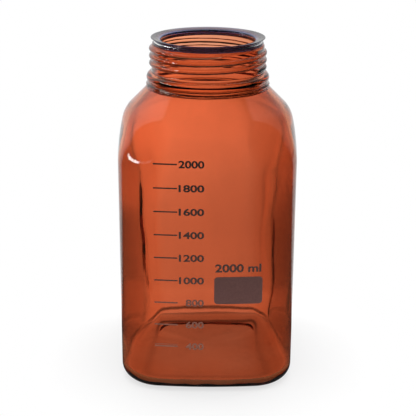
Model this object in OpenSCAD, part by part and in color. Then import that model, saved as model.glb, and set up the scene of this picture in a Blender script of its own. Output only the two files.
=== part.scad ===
// Square glass media bottle: a blown, rounded-square body with a wide round
// screw neck, a pouring ring snapped on its lip, and print on the front face.
// Millimetres. +Z is up, the bearing ring of the base is z = 0, the axis of
// the neck is x = y = 0 and the printed face looks along -Y.

/* [Body] */
// Width over the middle of two opposite faces
body_w = 122; // [112:1:132]
// Radius to which each upright face bulges outward, seen from above
face_bulge_r = 345; // [260:5:500]
// Radius of the four upright corners
corner_r = 28; // [22:1:34]
// Radius of the rounded heel between base and faces
heel_r = 9; // [6:0.5:12]
// Height at which the upright faces end and the shoulder begins
face_top_z = 156; // [130:1:176]
// Thickness of the glass in the upright faces
wall_t = 3; // [2.5:0.1:4]
// Thickness of the glass floor at the foot of the wall
floor_t = 5; // [4.5:0.1:6]
// Depth of the hollow in the middle of the underside
push_up = 2.2; // [1.5:0.1:2.8]
// Width of the flat bearing ring round that hollow
bearing_w = 9; // [6:0.5:12]

/* [Shoulder] */
// Radius of the long soft curve that starts the shoulder
soft_r = 105; // [90:5:130]
// Lean reached at the end of the soft curve, in degrees
soft_a = 12.8; // [11:0.2:15]
// Radius of the tighter turn above the soft curve
turn_r = 18.7; // [15:0.1:24]
// Lean of the straight slope that runs up to the neck, in degrees
slope_a = 44.3; // [42:0.1:48]

/* [Neck] */
// Outer diameter over the thread crests
thread_d = 79.6; // [70:0.2:84]
// Height of the thread ridge over the neck
thread_depth = 1.7; // [1.2:0.1:2]
// Width of the thread ridge at its foot
thread_w = 3.3; // [2.8:0.1:3.8]
// Rise of the thread per turn
thread_pitch = 4.95; // [4.4:0.05:5.4]
// Number of full-height turns of thread
thread_turns = 2.7; // [2.3:0.1:2.9]
// Height of the thread's start over the foot of the neck
thread_rise = 11.9; // [11.6:0.1:13]
// Thickness of the glass between mouth and thread
neck_t = 5.9; // [5.5:0.1:6.5]
// How far the collar bead stands out over the thread crests
collar_out = 1.8; // [1:0.1:3]
// Radius of the collar bead
collar_r = 3.6; // [3:0.1:4]
// Height of the collar bead over the foot of the neck
collar_rise = 5; // [4.6:0.1:5.4]
// Height from the foot of the neck to the land of the glass lip
finish_h = 29.1; // [29:0.1:33]
// Height of the narrow lip that the pouring ring grips
lip_h = 1.8; // [1.6:0.1:2.2]
// How far the lip is set in from the neck
lip_in = 2.6; // [2.4:0.1:3]

/* [Pouring ring] */
// How far the drip edge lies inside the thread crests
drip_in = 1.3; // [0.5:0.1:1.6]
// Height of the drip edge over the land of the glass
drip_h = 2.8; // [2.4:0.1:3.4]
// Wall of the skirt that grips the glass lip
skirt_t = 0.9; // [0.8:0.1:1]
// How far the skirt reaches down past the land
skirt_h = 1.3; // [1:0.1:1.4]
// Thickness of the ring at its inner edge
seat_t = 0.8; // [0.6:0.1:1]
// Clearance round the glass lip
ring_gap = 0.3; // [0.25:0.05:0.4]

/* [Print] */
// Height of the uppermost graduation line
mark_top_z = 162.7; // [161:0.1:164]
// Spacing of the graduation lines, one for every 200 ml
mark_step = 16.04; // [15.5:0.02:16.5]
// Number of graduation lines
mark_n = 9; // [5:1:9]
// Left end of the graduation lines
mark_x = -34.8; // [-36:0.1:-32]
// Length of a graduation line
mark_len = 15.5; // [12:0.5:17]
// Height of the stroke of a graduation line
mark_t = 0.9; // [0.7:0.05:1.2]
// Width of the field for handwriting
field_w = 32; // [28:0.5:34]
// Height of the field for handwriting
field_h = 19.5; // [16:0.5:24]
// Corner radius of the field
field_r = 2.5; // [1:0.5:4]
// Middle of the field, across the face
field_x = 20.9; // [18:0.1:21]
// Middle of the field, above the base
field_z = 75.6; // [60:0.2:90]
// Thickness of the print
coat_t = 0.12; // [0.1:0.02:0.2]
// Clearance between print and glass
coat_gap = 0.06; // [0.06:0.01:0.1]

/* [Hidden] */
$fn = 96;

glass_colour = [0.72, 0.30, 0.14, 0.75];
ring_colour = [0.18, 0.20, 0.42];
print_colour = [0.33, 0.21, 0.19];

half_w = body_w / 2;

// Ends of the soft curve and of the tight turn: how far in, and how high
soft_in = soft_r * (1 - cos(soft_a));
soft_z = face_top_z + soft_r * sin(soft_a);
turn_in = soft_in + turn_r * (cos(soft_a) - cos(slope_a));
turn_z = soft_z + turn_r * (sin(slope_a) - sin(soft_a));

// Radii of the neck, all from the thread
thread_r = thread_d / 2;
root_r = thread_r - thread_depth;
neck_r = root_r + 0.5 * collar_r;
mouth_r = root_r - neck_t;
lip_r = root_r - lip_in;
collar_x = thread_r + collar_out - collar_r;
fillet_r = 0.4 * collar_r;

// Heights of the neck, all from where the slope has come in to its foot
neck_z = turn_z + (half_w - turn_in - neck_r) / tan(slope_a);
collar_z = neck_z + collar_rise;
thread_z = neck_z + thread_rise;
land_z = neck_z + finish_h;
neck_root_z = neck_z - 4 * collar_r;

// The hollow of the body follows the outside one wall further in, and
// leaves a little more glass in the shoulder
shoulder_t = 1.3 * wall_t;
in_top_z = face_top_z - wall_t / 3;
in_soft_r = soft_r - shoulder_t;
in_soft_in = wall_t + in_soft_r * (1 - cos(soft_a));
in_soft_z = in_top_z + in_soft_r * sin(soft_a);
in_turn_r = turn_r - shoulder_t;
in_turn_in = in_soft_in + in_turn_r * (cos(soft_a) - cos(slope_a));
in_turn_z = in_soft_z + in_turn_r * (sin(slope_a) - sin(soft_a));

function smooth(t) = let (s = max(0, min(1, t))) s * s * (3 - 2 * s);

// How round the section is at a height: 0 is square, 1 is a circle
function roundness(z) = smooth((z - face_top_z) / (neck_z + fillet_r - face_top_z));

// Distance from the axis to the section in a direction. The section is four
// bulged faces joined by corner arcs: half width h, corner rc, face bulge rf.
function reach(h, rc, rf, dir) =
    let (t = abs((dir + 45) % 90 - 45),
         a = h - rf,
         d = rf - rc,
         c = (a + sqrt(max(0, 2 * d * d - a * a))) / 2,
         turn = atan2(c, c - a),
         joint = atan2(rf * sin(turn), a + rf * cos(turn)))
    t <= joint
        ? a * cos(t) + sqrt(rf * rf - pow(a * sin(t), 2))
        : c * sqrt(2) * cos(t - 45) + sqrt(rc * rc - pow(c * sqrt(2) * sin(t - 45), 2));

// Directions of the points round a section, closer together on the corners
quarter = concat([for (a = [0:6:24]) a], [for (a = [30:3:57]) a], [for (a = [60:6:84]) a]);
directions = [for (q = [0:3], a = quarter) 90 * q + a];

// One ring of points: height z, set in by e from the full section, roundness k
function ring(z, e, k) =
    let (h = half_w - e,
         rc = (1 - k) * max(corner_r - e, fillet_r) + k * h,
         rf = 1 / ((1 - k) / (face_bulge_r - e) + k / h))
    [for (dir = directions) let (r = reach(h, rc, rf, dir)) [r * cos(dir), r * sin(dir), z]];

// Rings up a heel of radius r that starts at height z, one wall in
function heel_rings(z, in, r, n) =
    [for (i = [0:n]) let (p = 90 * i / n) ring(z + r * (1 - cos(p)), in + r * (1 - sin(p)), 0)];

// Rings up an arc of radius r from lean a0 to lean a1, whose foot is at height z, set in by in
function arc_rings(z, in, r, a0, a1, from, n) =
    [for (i = [from:n]) let (p = a0 + (a1 - a0) * i / n, at = z + r * (sin(p) - sin(a0)))
        ring(at, in + r * (cos(a0) - cos(p)), roundness(at))];

// Rings up the straight slope from height z, set in by in, to radius r
function slope_rings(z, in, r, n) =
    [for (i = [1:n]) let (e = in + (half_w - r - in) * i / n, at = z + (e - in) / tan(slope_a))
        ring(at, e, roundness(at))];

// The outside runs up into the neck, the hollow up into the mouth
outer_rings = concat(
    heel_rings(0, 0, heel_r, 6),
    arc_rings(face_top_z, 0, soft_r, 0, soft_a, 0, 6),
    arc_rings(soft_z, soft_in, turn_r, soft_a, slope_a, 1, 4),
    slope_rings(turn_z, turn_in, root_r - wall_t / 3, 2)
);
hollow_rings = concat(
    heel_rings(floor_t, wall_t, heel_r, 5),
    arc_rings(in_top_z, wall_t, in_soft_r, 0, soft_a, 0, 5),
    arc_rings(in_soft_z, in_soft_in, in_turn_r, soft_a, slope_a, 1, 3),
    slope_rings(in_turn_z, in_turn_in, mouth_r - wall_t / 3, 2)
);

// A closed skin over a list of rings
module loft(rings) {
    n = len(rings[0]);
    m = len(rings);
    polyhedron(
        points = [for (r = rings, p = r) p],
        faces = concat(
            [[for (i = [0:n - 1]) i]],
            [for (j = [0:m - 2], i = [0:n - 1]) let (k = (i + 1) % n)
                [j * n + i, (j + 1) * n + i, (j + 1) * n + k]],
            [for (j = [0:m - 2], i = [0:n - 1]) let (k = (i + 1) % n)
                [j * n + i, (j + 1) * n + k, j * n + k]],
            [[for (i = [n - 1:-1:0]) (m - 1) * n + i]]
        )
    );
}

// The right-handed thread ridge, an oval swept along a helix. It rises out of
// the neck at the front right and sinks back into it under the lip.
fade_a = 50;
ridge_end = 360 * thread_turns;
ridge_section = [-115, -72, -36, 0, 36, 72, 115];
function ridge_point(a, q) =
    let (up = smooth(min(a + fade_a, ridge_end + fade_a - a) / fade_a),
         r = root_r - (1 - up) * 1.2 * thread_depth + thread_depth * cos(q))
    [r * cos(a), r * sin(a), thread_z + thread_pitch * a / 360 + thread_w / 2 * sin(q)];

module thread_ridge() {
    steps = ceil((ridge_end + 2 * fade_a) / 9);
    angles = [for (i = [0:steps]) -fade_a + (ridge_end + 2 * fade_a) * i / steps];
    m = len(ridge_section);
    polyhedron(
        points = [for (a = angles, q = ridge_section) ridge_point(a, q)],
        faces = concat(
            [[for (j = [m - 1:-1:0]) j]],
            [for (i = [0:steps - 1], j = [0:m - 1]) let (k = (j + 1) % m)
                [i * m + j, i * m + k, (i + 1) * m + k]],
            [for (i = [0:steps - 1], j = [0:m - 1]) let (k = (j + 1) % m)
                [i * m + j, (i + 1) * m + k, (i + 1) * m + j]],
            [[for (j = [0:m - 1]) steps * m + j]]
        )
    );
}

// Points of an arc about (x, z)
function arc(x, z, r, a0, a1, n) =
    [for (i = [0:n]) let (a = a0 + (a1 - a0) * i / n) [x + r * cos(a), z + r * sin(a)]];

// Centre, above or below the collar bead, of the fillet that joins it to radius r
function fillet_at(r, side) =
    [r + fillet_r, collar_z + side * sqrt(pow(collar_r + fillet_r, 2) - pow(r + fillet_r - collar_x, 2))];

// Neck without thread: foot, collar bead with its fillets, root, lip
module neck() {
    low = fillet_at(neck_r, -1);
    high = fillet_at(root_r, 1);
    low_a = atan2(low[1] - collar_z, low[0] - collar_x);
    high_a = atan2(high[1] - collar_z, high[0] - collar_x);
    lip_z = land_z - lip_h;
    edge_r = lip_h / 5;
    round_r = lip_in / 2;
    rotate_extrude() polygon(concat(
        [[0, neck_root_z], [neck_r, neck_root_z]],
        arc(low[0], low[1], fillet_r, 180, 180 + low_a, 3),
        arc(collar_x, collar_z, collar_r, low_a, high_a, 10),
        arc(high[0], high[1], fillet_r, 180 + high_a, 180, 3),
        arc(root_r - round_r, lip_z - round_r, round_r, 0, 90, 3),
        [[lip_r, lip_z]],
        arc(lip_r - edge_r, land_z - edge_r, edge_r, 0, 90, 2),
        [[0, land_z]]
    ));
}

module glass_bottle() {
    dome_w = half_w - heel_r - bearing_w;
    dome_r = (dome_w * dome_w + push_up * push_up) / (2 * push_up);
    edge = lip_h / 3;
    color(glass_colour) difference() {
        union() {
            loft(outer_rings);
            neck();
            thread_ridge();
        }
        loft(hollow_rings);
        // Mouth, with its inner edge broken
        translate([0, 0, neck_z]) cylinder(r = mouth_r, h = finish_h + 1);
        translate([0, 0, land_z - edge]) cylinder(r1 = mouth_r, r2 = mouth_r + 2 * edge, h = 2 * edge);
        // Hollow in the underside
        translate([0, 0, push_up - dome_r]) sphere(r = dome_r);
    }
}

// Ring of plastic on the glass lip: a skirt round it, a seat on the land
// and a funnel that rises outward to the drip edge
module pouring_ring() {
    inner_r = mouth_r + 1.3 * ring_gap;
    grip_r = lip_r + ring_gap;
    outer_r = grip_r + skirt_t;
    drip_r = thread_r - drip_in;
    drip_z = land_z + drip_h;
    drip_t = skirt_t / 3;
    color(ring_colour) rotate_extrude() polygon([
        [inner_r, land_z], [grip_r, land_z], [grip_r, land_z - skirt_h],
        [outer_r, land_z - skirt_h], [outer_r, land_z],
        [drip_r, drip_z - drip_t], [drip_r, drip_z], [drip_r - drip_t, drip_z],
        [inner_r, land_z + seat_t]
    ]);
}

// How far the outside of a face has come in at a height on the soft curve
function lean_in(z) = z <= face_top_z ? 0 : soft_r - sqrt(pow(soft_r, 2) - pow(z - face_top_z, 2));

module section(e) {
    polygon([for (p = ring(0, e, 0)) [p[0], p[1]]]);
}

// A thin coat that follows the outside of the body between two heights
module coat_band(z0, z1) {
    far = -coat_gap - coat_t;
    near = -coat_gap;
    past = mark_t;
    if (z1 < face_top_z)
        translate([0, 0, z0]) linear_extrude(z1 - z0) difference() {
            section(far);
            section(near);
        }
    else
        difference() {
            loft([for (z = [z0, z1]) ring(z, lean_in(z) + far, roundness(z))]);
            loft([for (z = [z0 - past, z1 + past]) ring(z, lean_in(z) + near, roundness(z))]);
        }
}

module graduation_marks() {
    color(print_colour)
        for (i = [0:mark_n - 1]) let (z = mark_top_z - i * mark_step)
            intersection() {
                coat_band(z - mark_t / 2, z + mark_t / 2);
                translate([mark_x, -body_w, z - mark_t]) cube([mark_len, body_w, 2 * mark_t]);
            }
}

module writing_field() {
    color(print_colour) intersection() {
        coat_band(field_z - field_h, field_z + field_h);
        translate([field_x, 0, field_z]) rotate([90, 0, 0]) linear_extrude(body_w) {
            square([field_w - 2 * field_r, field_h], center = true);
            square([field_w, field_h - 2 * field_r], center = true);
            for (i = [-1, 1], j = [-1, 1])
                translate([i * (field_w / 2 - field_r), j * (field_h / 2 - field_r)])
                    circle(r = field_r, $fn = 24);
        }
    }
}

glass_bottle();
pouring_ring();
graduation_marks();
writing_field();
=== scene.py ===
from math import atan2, ceil, cos, degrees, pi, radians, sin, sqrt, tan

import bmesh
import bpy
from mathutils import Matrix, Vector, noise


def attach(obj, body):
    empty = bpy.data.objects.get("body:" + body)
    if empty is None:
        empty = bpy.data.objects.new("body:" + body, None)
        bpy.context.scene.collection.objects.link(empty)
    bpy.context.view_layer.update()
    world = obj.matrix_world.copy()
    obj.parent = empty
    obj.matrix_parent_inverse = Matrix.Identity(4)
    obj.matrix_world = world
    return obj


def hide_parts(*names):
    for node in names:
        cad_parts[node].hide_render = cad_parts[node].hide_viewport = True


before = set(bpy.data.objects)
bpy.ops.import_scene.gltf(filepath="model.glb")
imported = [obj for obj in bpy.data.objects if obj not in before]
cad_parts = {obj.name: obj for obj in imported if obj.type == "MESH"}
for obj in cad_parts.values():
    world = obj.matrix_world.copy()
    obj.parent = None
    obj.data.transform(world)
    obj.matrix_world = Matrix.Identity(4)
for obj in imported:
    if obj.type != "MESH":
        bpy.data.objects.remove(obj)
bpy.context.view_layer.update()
scene = bpy.context.scene
mm = 0.001
tiny, weld = 0.01, 0.002  # millimetres: no width to speak of, and how close vertices are merged

camera = {
    "distance": 672.6, "height": 354.1, "aside": 0.44, "pitch": 17.95, "roll": 0.29,
    "lens": 87.32, "sensor": 36, "shift": -0.079, "nearest": 10, "farthest": 20000,
}


def makeCamera():
    data = bpy.data.cameras.new("camera")
    data.lens = camera["lens"]
    data.sensor_width = camera["sensor"]
    data.shift_y = camera["shift"]
    data.clip_start, data.clip_end = camera["nearest"] * mm, camera["farthest"] * mm
    obj = bpy.data.objects.new("camera", data)
    scene.collection.objects.link(obj)
    turn = Matrix.Rotation(radians(90 - camera["pitch"]), 4, "X")
    turn = turn @ Matrix.Rotation(radians(camera["roll"]), 4, "Z")
    place = Vector((camera["aside"], -camera["distance"], camera["height"])) * mm
    obj.matrix_world = Matrix.Translation(place) @ turn
    scene.camera = obj


def node(tree, kind, **values):
    made = tree.nodes.new(kind)
    for name, value in values.items():
        setattr(made, name, value)
    return made


def link(tree, source, target):
    tree.links.new(source, target)


def feed(tree, value, socket):  # a number or a colour stands on the socket, anything else is linked to it
    if isinstance(value, (int, float, tuple)):
        socket.default_value = value
    else:
        link(tree, value, socket)


def ramp(tree, source, stops):
    made = node(tree, "ShaderNodeValToRGB")
    while len(made.color_ramp.elements) < len(stops):
        made.color_ramp.elements.new(0.5)
    for element, (at, colour) in zip(made.color_ramp.elements, stops):
        element.position = at
        element.color = colour
    link(tree, source, made.inputs["Fac"])
    return made.outputs["Color"]


def maths(tree, operation, first, second=None, clamp=False):
    made = node(tree, "ShaderNodeMath", operation=operation, use_clamp=clamp)
    feed(tree, first, made.inputs[0])
    if second is not None:
        feed(tree, second, made.inputs[1])
    return made.outputs[0]


def onObject(tree):  # the X, Y and Z of a point on the object
    split = node(tree, "ShaderNodeSeparateXYZ")
    link(tree, node(tree, "ShaderNodeTexCoord").outputs["Object"], split.inputs[0])
    return split.outputs


def lengthOf(tree, x, y):
    squares = [maths(tree, "MULTIPLY", side, side) for side in (x, y)]
    return maths(tree, "SQRT", maths(tree, "ADD", *squares))


def mapped(tree, value, low, high, to0=0.0, to1=1.0, kind="SMOOTHSTEP"):
    made = node(tree, "ShaderNodeMapRange", interpolation_type=kind)
    names = ("Value", "From Min", "From Max", "To Min", "To Max")
    for name, given in zip(names, (value, low, high, to0, to1)):
        feed(tree, given, made.inputs[name])
    return made.outputs[0]


def mixNumbers(tree, factor, first, second):
    made = node(tree, "ShaderNodeMix", data_type="FLOAT")
    for at, value in zip((0, 2, 3), (factor, first, second)):
        feed(tree, value, made.inputs[at])
    return made.outputs[0]


def mixColours(tree, factor, first, second, blend="MIX"):
    made = node(tree, "ShaderNodeMix", data_type="RGBA", blend_type=blend)
    for at, value in zip((0, 6, 7), (factor, first, second)):
        feed(tree, value, made.inputs[at])
    return made.outputs[2]


def grey(tree, value):
    shade = node(tree, "ShaderNodeCombineColor")
    for socket in shade.inputs[:3]:
        link(tree, value, socket)
    return shade.outputs[0]


studio = {
    "fill": 0.6,  # what falls on plain surfaces from all round
    "behind": 0.85,  # what gloss shows of the pale backdrop and sides
    "cameraSide": 0.03,  # what gloss shows of the dark side of the room
    "edgeHigh": 0.26, "edgeLow": 0.5,  # where the pale side begins, high up and at the floor
    "edgeTop": 0.45, "edgeSoft": 0.07,  # high up is from here, and the edge is this soft
    "window": 18.0, "windowLow": 0.145, "windowHigh": 0.24,  # bright strip low on the left
    "windowEdge": 0.42, "windowBack": 0.2,  # how far it reaches to the middle and to the back
    "windowFaint": 0.05, "windowFade": 0.1,  # it is fainter to the front
    "windowBars": 38, "barCut": -0.7,
    "through": 0.72, "skyline": 0.95,  # what glass shows of the floor, and of the backdrop above it
    "throughDark": 0.03,  # and of the dark side of the room
    "overheadLow": 0.08, "overheadHigh": 0.25,  # glass sees the dark ceiling from here up
    "rightSide": 0.32, "rightFrom": 0.25, "rightTo": 0.75,  # gloss finds the right side of the room duller
    "spot": 0.5, "spotPlace": (-90, 720, 0), "spotReach": 520,  # brighter patch of the backdrop
    "slant": -1.6, "dullest": 0.45, "brightest": 0.86,  # the backdrop falls off to the right
    "under": 0.72,  # how much of the backdrop's glow the floor has under the glass
}


def paleSide(tree, along, edge):  # 0 on the camera's side of the room, 1 on the backdrop's side
    low, high = (maths(tree, "ADD", edge, shift) for shift in (-studio["edgeSoft"], studio["edgeSoft"]))
    return mapped(tree, along, low, high)


def makeWorld():
    world = bpy.data.worlds.new("studio")
    scene.world = world
    world.use_nodes = True
    tree = world.node_tree
    tree.nodes.clear()
    coords = node(tree, "ShaderNodeTexCoord")
    split = node(tree, "ShaderNodeSeparateXYZ")
    link(tree, coords.outputs["Generated"], split.inputs[0])
    x, y, z = split.outputs
    edge = mapped(tree, z, 0, studio["edgeTop"], studio["edgeLow"], studio["edgeHigh"])
    toBack = paleSide(tree, maths(tree, "DIVIDE", y, lengthOf(tree, x, y)), edge)
    paths = node(tree, "ShaderNodeLightPath")
    gloss = mixNumbers(tree, toBack, studio["cameraSide"], studio["behind"])
    strip = maths(tree, "MULTIPLY", maths(tree, "GREATER_THAN", z, studio["windowLow"]),
                  maths(tree, "LESS_THAN", z, studio["windowHigh"]))
    strip = maths(tree, "MULTIPLY", strip, maths(tree, "LESS_THAN", x, -studio["windowEdge"]))
    strip = maths(tree, "MULTIPLY", strip, maths(tree, "LESS_THAN", y, studio["windowBack"]))
    bars = maths(tree, "SINE", maths(tree, "MULTIPLY", y, studio["windowBars"]))
    strip = maths(tree, "MULTIPLY", strip, maths(tree, "GREATER_THAN", bars, studio["barCut"]))
    front = -studio["windowEdge"]
    strip = maths(tree, "MULTIPLY", strip, mapped(
        tree, y, front - studio["windowFade"], front, studio["windowFaint"], 1))
    gloss = maths(tree, "MULTIPLY", gloss, mapped(
        tree, x, studio["rightFrom"], studio["rightTo"], 1, studio["rightSide"]))
    gloss = maths(tree, "ADD", gloss, maths(tree, "MULTIPLY", strip, studio["window"]))
    overhead = mapped(tree, z, studio["overheadLow"], studio["overheadHigh"])
    through = mixNumbers(tree, overhead, studio["skyline"], studio["throughDark"])
    inside = maths(tree, "GREATER_THAN", paths.outputs["Glossy Depth"], 0)  # was reflected inside the glass
    through = mixNumbers(tree, inside, through, maths(tree, "MULTIPLY", through, toBack))
    shown = mixNumbers(tree, paths.outputs["Is Glossy Ray"], studio["fill"], gloss)
    shown = mixNumbers(tree, paths.outputs["Is Transmission Ray"], shown, through)
    shown = mixNumbers(tree, paths.outputs["Is Camera Ray"], shown, 1.0)
    sky = node(tree, "ShaderNodeBackground")
    sky.inputs["Color"].default_value = (1, 1, 1, 1)
    link(tree, shown, sky.inputs["Strength"])
    out = node(tree, "ShaderNodeOutputWorld")
    link(tree, sky.outputs[0], out.inputs["Surface"])


floor = {
    "radius": 2500, "facets": 96, "drop": 0.02, "colour": 0.93, "roughness": 0.8, "sheen": 0.1,
    "foot": 60, "footCorner": 28,  # the outline of the bottle's foot on the floor
    "plain": 3, "fade": 70, "shadowShare": 0.34,  # how far out, and how strongly, the floor's shadow shows
    "far": 0.4, "farStart": 900, "farEnd": 1300,  # the backdrop is brighter far off
    "linesAt": (1, -16), "lineReach": (6, 5), "lineShade": (0.3, 0.25),  # painted shadow: dark under the edges of the foot
    "lineStart": 15, "lineFull": 42, "lineFront": 0.25,  # the lines are faint in front and full at the back
    "footGloss": 0.88, "glossReach": 8,  # how little of the plain floor the heel mirrors
    "trapped": 0.3, "trappedStart": 210, "trappedEnd": 420,  # darker near the foot, for light caught in glass
}


def makeFloor():
    bm = bmesh.new()
    bmesh.ops.create_circle(bm, cap_ends=True, segments=floor["facets"], radius=floor["radius"])
    bmesh.ops.scale(bm, vec=(mm, mm, mm), verts=bm.verts)
    bmesh.ops.translate(bm, vec=(0, 0, -floor["drop"] * mm), verts=bm.verts)
    mesh = bpy.data.meshes.new("floor")
    bm.to_mesh(mesh)
    bm.free()
    obj = bpy.data.objects.new("floor", mesh)
    scene.collection.objects.link(obj)
    material = bpy.data.materials.new("paleTable")
    material.use_nodes = True
    tree = material.node_tree
    plain = tree.nodes["Principled BSDF"]
    plain.inputs["Base Color"].default_value = (floor["colour"],) * 3 + (1,)
    plain.inputs["Roughness"].default_value = floor["roughness"]
    plain.inputs["Specular IOR Level"].default_value = floor["sheen"]
    coords = node(tree, "ShaderNodeTexCoord")
    split = node(tree, "ShaderNodeSeparateXYZ")
    link(tree, coords.outputs["Object"], split.inputs[0])
    x, y = split.outputs["X"], split.outputs["Y"]
    reachOut = node(tree, "ShaderNodeVectorMath", operation="LENGTH")
    link(tree, coords.outputs["Object"], reachOut.inputs[0])
    reachOut = reachOut.outputs["Value"]
    straight = (floor["foot"] - floor["footCorner"]) * mm
    over = [maths(tree, "SUBTRACT", maths(tree, "ABSOLUTE", side), straight) for side in (x, y)]
    over = [maths(tree, "MAXIMUM", side, 0) for side in over]
    outside = maths(tree, "SUBTRACT", lengthOf(tree, *over), floor["footCorner"] * mm)  # from the foot's edge
    away = mapped(tree, outside, floor["plain"] * mm, floor["fade"] * mm)
    toBack = paleSide(tree, maths(tree, "DIVIDE", y, reachOut), studio["edgeLow"])
    paths = node(tree, "ShaderNodeLightPath")
    fromCamera, passed = paths.outputs["Is Camera Ray"], paths.outputs["Is Transmission Ray"]
    mirrored = maths(tree, "SUBTRACT", paths.outputs["Is Glossy Ray"], passed, clamp=True)
    spot = node(tree, "ShaderNodeVectorMath", operation="DISTANCE")
    link(tree, coords.outputs["Object"], spot.inputs[0])
    spot.inputs[1].default_value = Vector(studio["spotPlace"]) * mm
    through = maths(tree, "MULTIPLY_ADD", x, studio["slant"])
    through.node.inputs[2].default_value = studio["through"]
    through = maths(tree, "MINIMUM", maths(tree, "MAXIMUM", through, studio["dullest"]), studio["brightest"])
    through = maths(tree, "ADD", through, mapped(
        tree, spot.outputs["Value"], 0, studio["spotReach"] * mm, studio["spot"], 0))
    through = maths(tree, "ADD", through, mapped(
        tree, y, floor["farStart"] * mm, floor["farEnd"] * mm, 0, floor["far"]))
    # Painted shadow: dark lines in the floor's glow under the foot's edges, as glass shows it
    for at, reach, shade in zip(floor["linesAt"], floor["lineReach"], floor["lineShade"]):
        off = maths(tree, "ABSOLUTE", maths(tree, "SUBTRACT", outside, at * mm))
        line = mapped(tree, off, 0, reach * mm, 1 - shade, 0)
        line = maths(tree, "MULTIPLY", line, mapped(
            tree, y, floor["lineStart"] * mm, floor["lineFull"] * mm, floor["lineFront"], 1))
        through = maths(tree, "MULTIPLY", through, maths(tree, "SUBTRACT", 1, line))
    inside = maths(tree, "GREATER_THAN", paths.outputs["Glossy Depth"], 0)
    near = mapped(tree, reachOut, floor["trappedStart"] * mm, floor["trappedEnd"] * mm, 1, 0)
    near = maths(tree, "MAXIMUM", near, maths(tree, "SUBTRACT", 1, toBack))
    through = maths(tree, "MULTIPLY", through, mixNumbers(
        tree, maths(tree, "MULTIPLY", inside, near), 1.0, floor["trapped"]))
    level = mixNumbers(tree, toBack, studio["cameraSide"], studio["behind"])
    level = mixNumbers(tree, fromCamera, mixNumbers(tree, passed, level, through), 1.0)
    seen = maths(tree, "MULTIPLY", maths(tree, "MAXIMUM", away, 1 - floor["shadowShare"]), fromCamera)
    heel = mapped(tree, outside, 0, floor["glossReach"] * mm, floor["footGloss"], 1)
    seen = maths(tree, "MAXIMUM", seen, maths(tree, "MULTIPLY", mirrored, heel))
    under = maths(tree, "MAXIMUM", away, studio["under"])
    seen = maths(tree, "MAXIMUM", seen, maths(tree, "MULTIPLY", under, passed))
    glow = node(tree, "ShaderNodeEmission")
    glow.inputs["Color"].default_value = (1, 1, 1, 1)
    link(tree, level, glow.inputs["Strength"])
    mix = node(tree, "ShaderNodeMixShader")
    link(tree, seen, mix.inputs[0])
    link(tree, plain.outputs[0], mix.inputs[1])
    link(tree, glow.outputs[0], mix.inputs[2])
    link(tree, mix.outputs[0], tree.nodes["Material Output"].inputs["Surface"])
    mesh.materials.append(material)


lamps = {
    "top": {"place": (0, 60, 900), "aim": (0, 0, 100), "size": 700, "power": 5.0},
    "left": {"place": (-800, 150, 420), "aim": (0, 0, 120), "size": 500, "power": 2.5},
    "right": {"place": (800, 150, 420), "aim": (0, 0, 120), "size": 500, "power": 2.5},
}


def makeLamps():
    for name, lamp in lamps.items():
        data = bpy.data.lights.new(name + "Lamp", "AREA")
        data.shape = "SQUARE"
        data.size = lamp["size"] * mm
        data.energy = lamp["power"]
        obj = bpy.data.objects.new(name + "Lamp", data)
        obj.visible_glossy = obj.visible_transmission = False
        scene.collection.objects.link(obj)
        place = Vector(lamp["place"]) * mm
        look = Vector(lamp["aim"]) * mm - place
        obj.matrix_world = Matrix.Translation(place) @ look.to_track_quat("-Z", "Y").to_matrix().to_4x4()


makeCamera()
makeWorld()
makeFloor()
makeLamps()
scene.view_settings.view_transform = "Standard"
print("camera, floor and light are set")

bottle = {
    "halfWidth": 61, "bulge": 345, "corner": 28, "heel": 9, "faceTop": 156,
    "softRadius": 105, "softLean": 12.8, "turnRadius": 18.7, "slope": 44.3, "footBend": 1.8,
    "wall": 3, "cornerWall": 5, "shoulderWall": 3.9, "innerTurn": 4, "mouthBend": 6,
    "innerLower": 1, "bendClear": 0.5,  # the faces end lower inside, and rows stay clear of the mouth's bend
    "floor": 3.8, "innerHeel": 7, "floorDome": 0.8, "floorRound": 1.6,
    "ringInner": 43, "ringOuter": 52, "pushUp": 2.7, "domeRound": 1.5,  # the ring it stands on, the hollow
    "stepIn": 6, "stepUp": 1.4, "stepCorner": 9, "stepFaint": 0.8,  # a step, faint except at the back
    "backHalf": 50, "backFade": 14, "backTight": 0.82,  # the back in degrees, its tighter inside corner
    "cornerFrom": 22, "cornerOver": 16,  # the corners begin so many degrees from the middle of a face
    "uneven": 0.12, "unevenCorner": 0.9, "unevenRound": 1.7, "unevenTall": 30, "unevenPart": (3.1, 1.7, 0.4),
    "evenFoot": 8, "evenRise": 14,  # the inside is even at its foot
    "foldSway": 1.1, "foldTall": 9, "foldEnds": 8,
    "floorWave": 1.1, "wavePart": 5.3, "waveLength": 21, "finePart": 1.7, "fineLength": 8, "fineShare": 0.35,
    "crinkle": 0.3, "crinkleDrop": 0.6, "crinkleHalf": 1.8, "crinkleRound": 34, "crinkleTall": 1.3,
    "around": 256, "domeRows": 12, "stepRows": 6, "flatRows": 6, "heelRows": 14, "faceRows": 24,
    "bendRows": 12, "slopeRows": 14, "footRows": 6, "neckRows": 22, "mouthRows": 10,
    "innerHeelRows": 12, "floorRows": 12,
}
neck = {
    "crest": 39.8, "depth": 1.7, "ridge": 3.3, "pitch": 4.95, "turns": 2.7, "threadRise": 11.9,
    "fade": 50, "sink": 1.2,  # the ends of the thread fade over so many degrees, down below the neck's face
    "wall": 5.9, "collar": 3.6, "collarOut": 1.8, "collarRise": 5, "filletShare": 0.4, "footShare": 0.5,
    "height": 29.1, "lipHeight": 1.8, "lipIn": 2.6, "lipFillet": 0.3,
    "lipEdge": 0.36, "lipRound": 1.3, "mouthEdge": 0.6,  # rounded edges: lip, its shoulder, mouth
    "threadRows": 54, "collarRows": 16, "filletRows": 5, "shoulderRows": 6, "lipRows": 4,
}
fillet = neck["filletShare"] * neck["collar"]
rootRadius = neck["crest"] - neck["depth"]
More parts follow.
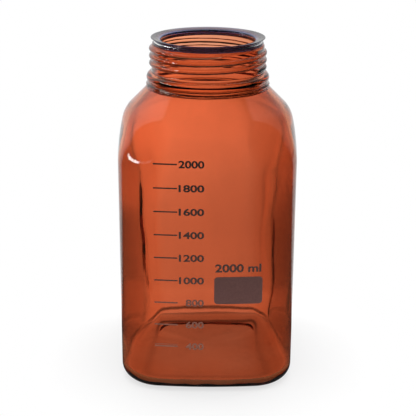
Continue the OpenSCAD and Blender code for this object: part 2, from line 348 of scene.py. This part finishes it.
neckRadius = rootRadius + neck["footShare"] * neck["collar"]
mouthRadius = rootRadius - neck["wall"]
lipRadius = rootRadius - neck["lipIn"]
collarX = neck["crest"] + neck["collarOut"] - neck["collar"]


def smoothStep(share):
    share = min(1, max(0, share))
    return share * share * (3 - 2 * share)


def shoulderEnds(top, start, softRadius, turnRadius):
    soft, slope = radians(bottle["softLean"]), radians(bottle["slope"])
    softIn = start + softRadius * (1 - cos(soft))
    softTop = top + softRadius * sin(soft)
    turnIn = softIn + turnRadius * (cos(soft) - cos(slope))
    return softIn, softTop, turnIn, softTop + turnRadius * (sin(slope) - sin(soft))


half = bottle["halfWidth"]
turnIn, turnTop = shoulderEnds(bottle["faceTop"], 0, bottle["softRadius"], bottle["turnRadius"])[2:]
neckFoot = turnTop + (half - turnIn - neckRadius) / tan(radians(bottle["slope"]))
collarMiddle = neckFoot + neck["collarRise"]
threadStart = neckFoot + neck["threadRise"]
land = neckFoot + neck["height"]


def roundness(z):  # 0 is the square section of the body, 1 the circle of the neck
    return smoothStep((z - bottle["faceTop"]) / (neckFoot + fillet - bottle["faceTop"]))


def sectionReach(width, round, turn, thick=0):  # distance from the axis to the section, in a direction
    inset = half - width
    corner = (1 - round) * max(bottle["corner"] + thick - inset, fillet) + round * width
    bulge = 1 / ((1 - round) / (bottle["bulge"] - inset) + round / width)
    turn = abs((turn + pi / 4) % (pi / 2) - pi / 4)
    faceMiddle, spread = width - bulge, bulge - corner
    cornerMiddle = (faceMiddle + sqrt(max(0, 2 * spread * spread - faceMiddle * faceMiddle))) / 2
    swing = atan2(cornerMiddle, cornerMiddle - faceMiddle)
    joint = atan2(bulge * sin(swing), faceMiddle + bulge * cos(swing))
    if turn <= joint:
        return faceMiddle * cos(turn) + sqrt(bulge * bulge - (faceMiddle * sin(turn)) ** 2)
    out, turn = cornerMiddle * sqrt(2), turn - pi / 4
    return out * cos(turn) + sqrt(corner * corner - (out * sin(turn)) ** 2)


def arcPoints(x, z, radius, start, end, count):
    turns = [radians(start + (end - start) * i / count) for i in range(count + 1)]
    return [(x + radius * cos(turn), z + radius * sin(turn)) for turn in turns]


def linePoints(x0, z0, x1, z1, count):
    return [(x0 + (x1 - x0) * i / count, z0 + (z1 - z0) * i / count) for i in range(count + 1)]


def shoulderPoints(top, start, softRadius, turnRadius, endX):  # up the shoulder, from face to neck
    softEnd, softZ, turnEnd, turnZ = shoulderEnds(top, start, softRadius, turnRadius)
    soft, slope = bottle["softLean"], bottle["slope"]
    points = arcPoints(half - start - softRadius, top, softRadius, 0, soft, bottle["bendRows"])
    middle = half - softEnd - turnRadius * cos(radians(soft))
    low = softZ - turnRadius * sin(radians(soft))
    points += arcPoints(middle, low, turnRadius, soft, slope, bottle["bendRows"])[1:]
    x, z = half - turnEnd, turnZ
    points += linePoints(x, z, endX, z + (x - endX) / tan(radians(slope)), bottle["slopeRows"])[1:]
    return points


def bendPoints(before, at, after, radius, count):  # rounds the corner between two straight stretches
    first, second = (Vector(before) - Vector(at)).normalized(), (Vector(after) - Vector(at)).normalized()
    inside = first.angle(second)
    middle = Vector(at) + (first + second).normalized() * (radius / sin(inside / 2))
    start, end = (Vector(at) + side * (radius / tan(inside / 2)) for side in (first, second))
    return [tuple(middle + (start - middle).slerp(end - middle, i / count)) for i in range(count + 1)]


def outerProfile():
    edge, step, faceTop = bottle["ringInner"] - bottle["stepIn"], bottle["stepUp"], bottle["faceTop"]
    rows = []
    for i in range(bottle["domeRows"] + 1):
        share = i / bottle["domeRows"]
        z = step + (bottle["pushUp"] - step) * (1 - share * share)
        rows.append((edge * share, z, smoothStep(bottle["domeRound"] - bottle["domeRound"] * share)))
    for i in range(1, bottle["stepRows"] + 1):
        share = i / bottle["stepRows"]
        rows.append((edge + bottle["stepIn"] * share, step * (1 - smoothStep(share)), 0))
    for i in range(1, bottle["flatRows"]):
        out = (bottle["ringOuter"] - bottle["ringInner"]) * i / bottle["flatRows"]
        rows.append((bottle["ringInner"] + out, 0, 0))
    heel = bottle["heel"]
    points = arcPoints(bottle["ringOuter"], heel, heel, -90, 0, bottle["heelRows"])
    points += linePoints(half, heel, half, faceTop, bottle["faceRows"])[1:-1]
    points += shoulderPoints(faceTop, 0, bottle["softRadius"], bottle["turnRadius"], neckRadius)[:-1]
    low = neckFillet(neckRadius, -1)
    high = neckFillet(rootRadius, 1)
    points += bendPoints(points[-1], (neckRadius, neckFoot), low, bottle["footBend"], bottle["footRows"])
    lowTurn = degrees(atan2(low[1] - collarMiddle, low[0] - collarX))
    highTurn = degrees(atan2(high[1] - collarMiddle, high[0] - collarX))
    points += arcPoints(*low, fillet, 180, 180 + lowTurn, neck["filletRows"])
    points += arcPoints(collarX, collarMiddle, neck["collar"], lowTurn, highTurn, neck["collarRows"])[1:]
    points += arcPoints(*high, fillet, 180 + highTurn, 180, neck["filletRows"])[1:]
    lipFoot, edge, round = land - neck["lipHeight"], neck["lipEdge"], neck["lipRound"]
    points += linePoints(rootRadius, high[1], rootRadius, lipFoot - round, neck["threadRows"])[1:]
    points += arcPoints(rootRadius - round, lipFoot - round, round, 0, 90, neck["shoulderRows"])[1:]
    points += [(lipRadius + neck["lipFillet"], lipFoot), (lipRadius, lipFoot + neck["lipFillet"])]
    points += arcPoints(lipRadius - edge, land - edge, edge, 0, 90, neck["lipRows"])
    return rows + [(x, z, roundness(z)) for x, z in points]


def neckFillet(radius, side):  # middle of the fillet between the collar bead and the neck
    rise = sqrt((neck["collar"] + fillet) ** 2 - (radius + fillet - collarX) ** 2)
    return radius + fillet, collarMiddle + side * rise


def innerProfile():
    wall, heel, thick = bottle["wall"], bottle["innerHeel"], bottle["shoulderWall"]
    faceTop, faceFoot = bottle["faceTop"] - bottle["innerLower"], bottle["floor"] + heel
    edge = neck["mouthEdge"]
    turnRadius = bottle["turnRadius"] - thick + bottle["innerTurn"]
    under = shoulderPoints(faceTop, wall, bottle["softRadius"] - thick, turnRadius, mouthRadius)
    points = arcPoints(mouthRadius + edge, land - edge, edge, 90, 180, neck["lipRows"])
    bend = bendPoints((mouthRadius, land), under[-1], under[-2], bottle["mouthBend"], bottle["mouthRows"])
    points += linePoints(mouthRadius, land - edge, *bend[0], bottle["neckRows"])[1:-1] + bend
    points += [point for point in reversed(under) if point[1] < bend[-1][1] - bottle["bendClear"]]
    points += linePoints(half - wall, faceTop, half - wall, faceFoot, bottle["faceRows"])[1:]
    points += arcPoints(half - wall - heel, faceFoot, heel, 0, -90, bottle["innerHeelRows"])[1:]
    rows = [(x, z, roundness(z)) for x, z in points]
    for i in range(1, bottle["floorRows"] + 1):
        share = i / bottle["floorRows"]
        z = bottle["floor"] + bottle["floorDome"] * smoothStep(share)
        rows.append(((half - wall - heel) * (1 - share), z, smoothStep(share * bottle["floorRound"])))
    return rows


def threadHeight(turn, z):  # how far the ridge stands out of the neck there
    total, most = 360 * neck["turns"], 0
    for lap in range(-1, ceil(neck["turns"]) + 1):
        along = degrees(turn) % 360 + 360 * lap
        if not -neck["fade"] <= along <= total + neck["fade"]:
            continue
        up = smoothStep(min(along + neck["fade"], total + neck["fade"] - along) / neck["fade"])
        off = (z - threadStart - neck["pitch"] * along / 360) / (neck["ridge"] / 2)
        if abs(off) < 1:
            most = max(most, neck["depth"] * (sqrt(1 - off * off) - neck["sink"] * (1 - up)))
    return most


def spinRows(rows, steps):
    bm = bmesh.new()
    layer = bm.verts.layers.int.new("row")
    chain = [bm.verts.new((x, 0, z)) for x, z, *rest in rows]
    for i, vert in enumerate(chain):
        vert[layer] = i
    edges = [bm.edges.new(pair) for pair in zip(chain, chain[1:])]
    bmesh.ops.spin(bm, geom=chain + edges, cent=(0, 0, 0), axis=(0, 0, 1), dvec=(0, 0, 0),
                   angle=2 * pi, steps=steps, use_merge=True, use_duplicate=False)
    return bm, bm.verts.layers.int["row"]


def finishPiece(bm, name, materials, replaced=None, flat=False):
    bmesh.ops.remove_doubles(bm, verts=bm.verts, dist=weld)
    bmesh.ops.recalc_face_normals(bm, faces=bm.faces)
    bmesh.ops.scale(bm, vec=(mm, mm, mm), verts=bm.verts)
    for face in bm.faces:
        face.smooth = not flat
    mesh = bpy.data.meshes.new(name)
    bm.to_mesh(mesh)
    bm.free()
    for material in materials:
        mesh.materials.append(material)
    obj = bpy.data.objects.new(name, mesh)
    scene.collection.objects.link(obj)
    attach(obj, "root")
    if replaced:
        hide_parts(replaced)
    return obj


def newMaterial(name):
    made = bpy.data.materials.new(name)
    made.use_nodes = True
    return made, made.node_tree, made.node_tree.nodes["Principled BSDF"]


# The clouds of every material: a pattern's values are scale, stretch, low, high and bump, in that order
surface = {"detail": 4, "lowest": 0.32, "highest": 0.68, "bump": 0.2}


def makeDetailGroup():  # cloudy unevenness, drawn out along the height by Stretch
    group = bpy.data.node_groups.new("unevenSurface", "ShaderNodeTree")
    for name, start in (("Scale", 100.0), ("Stretch", 1.0), ("Low", 0.0), ("High", 1.0), ("Bump", 0.1)):
        group.interface.new_socket(name, in_out="INPUT", socket_type="NodeSocketFloat").default_value = start
    group.interface.new_socket("Mask", in_out="OUTPUT", socket_type="NodeSocketFloat")
    group.interface.new_socket("Normal", in_out="OUTPUT", socket_type="NodeSocketVector")
    given, out = node(group, "NodeGroupInput"), node(group, "NodeGroupOutput")
    point, place = onObject(group), node(group, "ShaderNodeCombineXYZ")
    for axis in "XY":
        link(group, maths(group, "MULTIPLY", point[axis], given.outputs["Scale"]), place.inputs[axis])
    tall = maths(group, "MULTIPLY", point["Z"], given.outputs["Scale"])
    link(group, maths(group, "DIVIDE", tall, given.outputs["Stretch"]), place.inputs["Z"])
    clouds = node(group, "ShaderNodeTexNoise")
    clouds.inputs["Scale"].default_value = 1
    clouds.inputs["Detail"].default_value = surface["detail"]
    link(group, place.outputs[0], clouds.inputs["Vector"])
    spread = mapped(group, clouds.outputs["Fac"], surface["lowest"], surface["highest"],
                    given.outputs["Low"], given.outputs["High"], "LINEAR")
    link(group, spread, out.inputs["Mask"])
    bump = node(group, "ShaderNodeBump")
    bump.inputs["Distance"].default_value = surface["bump"] * mm
    link(group, given.outputs["Bump"], bump.inputs["Strength"])
    link(group, clouds.outputs["Fac"], bump.inputs["Height"])
    link(group, bump.outputs[0], out.inputs["Normal"])
    return group


detailGroup = makeDetailGroup()


def detail(tree, scale, stretch, low, high, bump):
    made = node(tree, "ShaderNodeGroup", node_tree=detailGroup)
    for name, value in zip(("Scale", "Stretch", "Low", "High", "Bump"), (scale, stretch, low, high, bump)):
        made.inputs[name].default_value = value
    return made.outputs["Mask"], made.outputs["Normal"]


# Painted shade along the crease where the back wall meets the base: a dark wavering line painted into the
# glass colour
paintedCreaseLine = {
    "height": 7, "core": 0.5, "reach": 1.6, "least": 0.2, "back": (26, 44),
    "wander": (32.0, 1.0, -1.0, 1.0, 0.0),
}


def paintedCreaseShade(tree):
    point = onObject(tree)
    wander = maths(tree, "MULTIPLY", detail(tree, *paintedCreaseLine["wander"])[0], mm)
    above = maths(tree, "SUBTRACT", point["Z"], paintedCreaseLine["height"] * mm)
    off = maths(tree, "ABSOLUTE", maths(tree, "ADD", above, wander))
    line = mapped(tree, off, paintedCreaseLine["core"] * mm, paintedCreaseLine["reach"] * mm, 1 - paintedCreaseLine["least"], 0)
    back = mapped(tree, point["Y"], *[y * mm for y in paintedCreaseLine["back"]])
    return maths(tree, "SUBTRACT", 1, maths(tree, "MULTIPLY", line, back))


amber = {
    "tint": (0.92, 0.48, 0.348, 1), "density": 170, "inside": (0.932, 0.588, 0.265, 1), "bend": 1.474,
    "facing": 0.5, "edgeShade": (0.6, 0.95, 0.2),  # painted shade: darker where the glass turns away from the view
    "stain": (24.0, 1.6, 0.93, 1.0, 0.0), "streaks": (190.0, 14.0, 0.975, 1.0, 0.10),
}


def glassMaterial():
    made, tree, shader = newMaterial("amberGlass")
    # Painted shade: the Layer Weight darkens the glass colour where its surface turns away from the view
    facing = node(tree, "ShaderNodeLayerWeight")
    facing.inputs["Blend"].default_value = amber["facing"]
    start, end, least = amber["edgeShade"]
    edgeShade = mapped(tree, facing.outputs["Facing"], start, end, 1, least, "LINEAR")
    stain = detail(tree, *amber["stain"])[0]
    streaks, ripples = detail(tree, *amber["streaks"])
    shade = maths(tree, "MULTIPLY", maths(tree, "MULTIPLY", stain, streaks), edgeShade)
    # the painted shade of the crease at the back of the foot
    shade = maths(tree, "MULTIPLY", shade, paintedCreaseShade(tree))
    colour = mixColours(tree, 1.0, amber["tint"], grey(tree, shade), "MULTIPLY")
    link(tree, colour, shader.inputs["Base Color"])
    link(tree, ripples, shader.inputs["Normal"])
    shader.inputs["Roughness"].default_value = 0.0
    shader.inputs["IOR"].default_value = amber["bend"]
    shader.inputs["Transmission Weight"].default_value = 1
    depth = node(tree, "ShaderNodeVolumeAbsorption")
    depth.inputs["Color"].default_value = amber["inside"]
    depth.inputs["Density"].default_value = amber["density"]
    link(tree, depth.outputs[0], tree.nodes["Material Output"].inputs["Volume"])
    return made


blue = {
    "tint": (0.11, 0.15, 0.45, 1), "deep": (0.19, 0.085, 0.085, 1),  # thin edges, thick middle
    "deepRise": (0.4, 0.9), "thinIn": (32.9, 33.7), "thinOut": (37.5, 38.2),
    "cloud": (420.0, 1.0, 0.75, 1.0, 0.1), "grain": (2600.0, 1.0, 0.08, 0.2, 0.06),
    "bend": 1.49, "clear": 0.98, "sheen": 0.22,
}


def ringMaterial():
    made, tree, shader = newMaterial("bluePlastic")
    x, y, z = onObject(tree)
    upper = mapped(tree, z, *[(land + rise) * mm for rise in blue["deepRise"]])
    outward = lengthOf(tree, x, y)
    bands = [mapped(tree, outward, low * mm, high * mm) for low, high in (blue["thinIn"], blue["thinOut"])]
    middle = maths(tree, "MULTIPLY", maths(tree, "SUBTRACT", *bands), upper)
    cloud = detail(tree, *blue["cloud"])[0]
    rough, grain = detail(tree, *blue["grain"])
    colour = mixColours(tree, maths(tree, "MULTIPLY", middle, cloud), blue["tint"], blue["deep"])
    link(tree, colour, shader.inputs["Base Color"])
    link(tree, rough, shader.inputs["Roughness"])
    link(tree, grain, shader.inputs["Normal"])
    shader.inputs["IOR"].default_value = blue["bend"]
    shader.inputs["Specular IOR Level"].default_value = blue["sheen"]
    shader.inputs["Transmission Weight"].default_value = blue["clear"]
    return made


ink = {
    "lines": (  # share of the height, colour; painted light, paler low down where light from the floor falls
        (0.15, (0.30, 0.105, 0.066, 1)), (0.28, (0.27, 0.095, 0.06, 1)), (0.41, (0.20, 0.072, 0.05, 1)),
        (0.5, (0.095, 0.038, 0.03, 1)), (1.0, (0.03, 0.014, 0.012, 1)),
    ),
    # The field is painted a little paler low down too, for the same light from the floor
    "field": ((0.38, (0.15, 0.058, 0.049, 1)), (0.52, (0.125, 0.048, 0.040, 1))),
    "top": 165, "patches": (900.0, 1.0, 0.85, 1.12, 0.3), "grain": (5200.0, 1.0, 0.4, 0.75, 0.15),
}


def printMaterial(name, stops):  # a fired enamel, with painted light: paler towards the foot, where light from the floor falls
    made, tree, shader = newMaterial(name)
    height = maths(tree, "DIVIDE", onObject(tree)["Z"], ink["top"] * mm)
    patches = detail(tree, *ink["patches"])[0]
    rough, grain = detail(tree, *ink["grain"])
    # painted light: the colour ramp over the height makes the print paler low down
    colour = mixColours(tree, 1.0, ramp(tree, height, stops), grey(tree, patches), "MULTIPLY")
    link(tree, colour, shader.inputs["Base Color"])
    link(tree, rough, shader.inputs["Roughness"])
    link(tree, grain, shader.inputs["Normal"])
    return made


glass, plastic = glassMaterial(), ringMaterial()
enamel, fieldEnamel = printMaterial("lineEnamel", ink["lines"]), printMaterial("fieldEnamel", ink["field"])


# Folds of thicker glass down the inside: angles at top and foot, heights, half width in degrees, thickness
folds = (
    (134, 130, 139, 4, 3.2, 0.9),
    (150, 144, 118, 22, 4.0, 1.0),
    (39, 42, 128, 34, 3.6, 0.9),
    (24, 30, 96, 10, 3.4, 0.6),
)


def cornerShare(turn):  # 0 along a face, 1 in a corner
    off = abs((turn + pi / 4) % (pi / 2) - pi / 4)
    return smoothStep((degrees(off) - bottle["cornerFrom"]) / bottle["cornerOver"])


def unevenness(turn, z, round):  # how far the inside of the blown wall wanders
    size = bottle["unevenRound"]
    place = Vector((size * cos(turn), size * sin(turn), z / bottle["unevenTall"]))
    slow = noise.noise(place + Vector(bottle["unevenPart"]))
    share = bottle["uneven"] + (bottle["unevenCorner"] - bottle["uneven"]) * cornerShare(turn)
    wander = slow * share * smoothStep((z - bottle["evenFoot"]) / bottle["evenRise"])
    for topTurn, lowTurn, top, low, width, height in folds:
        along = (top - z) / (top - low)
        middle = topTurn + (lowTurn - topTurn) * along + bottle["foldSway"] * sin(z / bottle["foldTall"])
        off = ((degrees(turn) - middle + 180) % 360 - 180) / width
        if abs(off) < 1:
            ends = smoothStep((top - z) / bottle["foldEnds"]) * smoothStep((z - low) / bottle["foldEnds"])
            wander += height * ends * (1 - off * off) ** 2
    return wander * (1 - round)


def crinkle(turn, z):  # fine ripples where the mould closed round the foot of the neck
    off = (z - neckFoot + bottle["crinkleDrop"]) / bottle["crinkleHalf"]
    if abs(off) > 1:
        return 0
    size = bottle["crinkleRound"]
    fine = noise.noise(Vector((size * cos(turn), size * sin(turn), z * bottle["crinkleTall"])))
    return bottle["crinkle"] * fine * (1 - off * off)


def backShare(turn):  # 1 along the back face, 0 well round the corners
    off = abs((degrees(turn) + 90) % 360 - 180)
    return 1 - smoothStep((off - bottle["backHalf"]) / bottle["backFade"])


def underFoot(width, z, turn):  # the step in the hollow is plain at the back and faint elsewhere
    lost = bottle["stepUp"] * bottle["stepFaint"] * (1 - backShare(turn))
    edge = bottle["ringInner"] - bottle["stepIn"]
    return z - (lost * min(1, (width / edge) ** 2) if width < edge else z * lost / bottle["stepUp"])


def floorWaves(x, y):
    size, fine = bottle["waveLength"], bottle["fineLength"]
    waves = noise.noise(Vector((x / size, y / size, bottle["wavePart"])))
    return waves + bottle["fineShare"] * noise.noise(Vector((x / fine, y / fine, bottle["finePart"])))


def makeBottle():
    rows = outerProfile()
    outerCount, footCount = len(rows), bottle["domeRows"] + 1 + bottle["stepRows"]
    rows += innerProfile()
    innerHalf, floorTop, heel = half - bottle["wall"], bottle["floor"], bottle["innerHeel"]
    bm, layer = spinRows(rows, bottle["around"])
    for vert in bm.verts:
        width, z, round = rows[vert[layer]]
        if width < tiny:
            continue
        turn = atan2(vert.co.y, vert.co.x)
        inside, under = vert[layer] >= outerCount, vert[layer] < footCount
        if under:
            z = underFoot(width, z, turn)
        if inside and z < floorTop + heel and width > innerHalf - heel - tiny:  # tighter along the back
            tight = bottle["backTight"] * backShare(turn)
            width += tight * (innerHalf - width)
            z += tight * (floorTop - z)
        vert.co.z = z
        thick = bottle["cornerWall"] if inside else bottle["stepCorner"] if under else 0
        out = sectionReach(width, round, turn, thick)
        if inside:
            out -= unevenness(turn, z, round)
        else:
            out += crinkle(turn, z)
            if width == rootRadius:
                out += threadHeight(turn, z)
        vert.co.x, vert.co.y = out * cos(turn), out * sin(turn)
        if inside and z < floorTop + heel:
            vert.co.z += bottle["floorWave"] * floorWaves(vert.co.x, vert.co.y) * (1 - (z - floorTop) / heel)
    return finishPiece(bm, "glassBottle", [glass], "glass_bottle")


makeBottle()
print("bottle is made")

ring = {
    "inner": 32.59, "grip": 35.8, "outer": 36.7, "drip": 38.5, "skirt": 1.3, "height": 2.8, "seat": 0.8,
    "lift": 0.03, "edge": 0.3, "soft": 0.22, "around": 192, "softRows": 4, "edgeRows": 5,
}


def makeRing():
    top, seat = land + ring["height"], land + ring["lift"]
    low, drip, edge = land - ring["skirt"], ring["drip"], ring["edge"]
    corners = [(ring["inner"], seat), (ring["grip"], seat), (ring["grip"], low),
               (ring["outer"], low), (ring["outer"], seat), (drip, top - edge)]
    points = [corners[0]]
    for before, at, after in zip(corners, corners[1:], corners[2:]):
        points += bendPoints(before, at, after, ring["soft"], ring["softRows"])
    points += arcPoints(drip - edge, top - edge, edge, 0, 90, ring["edgeRows"])
    lip = (ring["inner"], land + ring["seat"])
    points += bendPoints((drip - edge, top), lip, corners[0], ring["soft"], ring["softRows"])
    bm = spinRows(points + points[:1], ring["around"])[0]
    return finishPiece(bm, "pouringRing", [plastic], "pouring_ring")


makeRing()
print("pouring ring is made")

lettering = {
    "gap": 0.05, "coat": 0.08, "bold": 0.03, "size": 10,
    "most": 2000, "each": 200, "count": 9, "top": 162.7, "step": 16.04,
    "height": 4.95, "left4": -18.4, "left3": -14.0, "right": -1.9,  # four figures or three, same right end
    "volume": (5.5, 35.9, 88.6, 94.5), "lowest": (-34.8, -19.6, 35.6, 35.9),  # left, right, foot, top
    "cuts": 7,
}


def faceDepth(x, z):  # where the front face lies at a point of the print
    lean = 0
    if z > bottle["faceTop"]:
        lean = bottle["softRadius"] - sqrt(bottle["softRadius"] ** 2 - (z - bottle["faceTop"]) ** 2)
    round, width = roundness(z), half - lean
    bulge = 1 / ((1 - round) / (bottle["bulge"] - lean) + round / width)
    return width - bulge + sqrt(bulge * bulge - x * x)


def coated(x, z, outer):  # a point of the print on the bulged face, on its outer or its inner side
    out = lettering["gap"] + (lettering["coat"] if outer else 0)
    return x, -faceDepth(x, z) - out, z


def addMesh(bm, mesh):
    bm.from_mesh(mesh)
    bpy.data.meshes.remove(mesh)


def addText(bm, words, left, right, low, high):
    data = bpy.data.curves.new("words", "FONT")
    data.body = words
    data.size = lettering["size"]
    data.offset = lettering["bold"] * lettering["size"]
    data.extrude = 1
    obj = bpy.data.objects.new("words", data)
    scene.collection.objects.link(obj)
    bpy.context.view_layer.update()
    mesh = bpy.data.meshes.new_from_object(obj)
    bpy.data.objects.remove(obj)
    x0, x1 = min(v.co.x for v in mesh.vertices), max(v.co.x for v in mesh.vertices)
    y0, y1 = min(v.co.y for v in mesh.vertices), max(v.co.y for v in mesh.vertices)
    for vert in mesh.vertices:
        x = left + (vert.co.x - x0) / (x1 - x0) * (right - left)
        z = low + (vert.co.y - y0) / (y1 - y0) * (high - low)
        vert.co = coated(x, z, vert.co.z > 0)
    addMesh(bm, mesh)


def addStroke(bm, left, right, low, high):
    stroke = bmesh.new()
    bmesh.ops.create_cube(stroke, size=1)
    along = [edge for edge in stroke.edges if edge.verts[0].co.x != edge.verts[1].co.x]
    bmesh.ops.subdivide_edges(stroke, edges=along, cuts=lettering["cuts"], use_grid_fill=True)
    for vert in stroke.verts:
        x, z = left + (right - left) * (vert.co.x + 0.5), low + (high - low) * (vert.co.z + 0.5)
        vert.co = coated(x, z, vert.co.y > 0)
    mesh = bpy.data.meshes.new("stroke")
    stroke.to_mesh(mesh)
    stroke.free()
    addMesh(bm, mesh)


def makeLettering():
    bm = bmesh.new()
    for i in range(lettering["count"]):
        number = str(lettering["most"] - lettering["each"] * i)
        middle, reach = lettering["top"] - lettering["step"] * i, lettering["height"] / 2
        left = lettering["left4"] if len(number) == 4 else lettering["left3"]
        addText(bm, number, left, lettering["right"], middle - reach, middle + reach)
    addText(bm, "%d ml" % lettering["most"], *lettering["volume"])
    addStroke(bm, *lettering["lowest"])
    return finishPiece(bm, "volumeNumerals", [enamel], flat=True)


makeLettering()
for name, material in (("graduation_marks", enamel), ("writing_field", fieldEnamel)):
    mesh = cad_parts[name].data
    mesh.materials.clear()
    mesh.materials.append(material)
print("print is made")
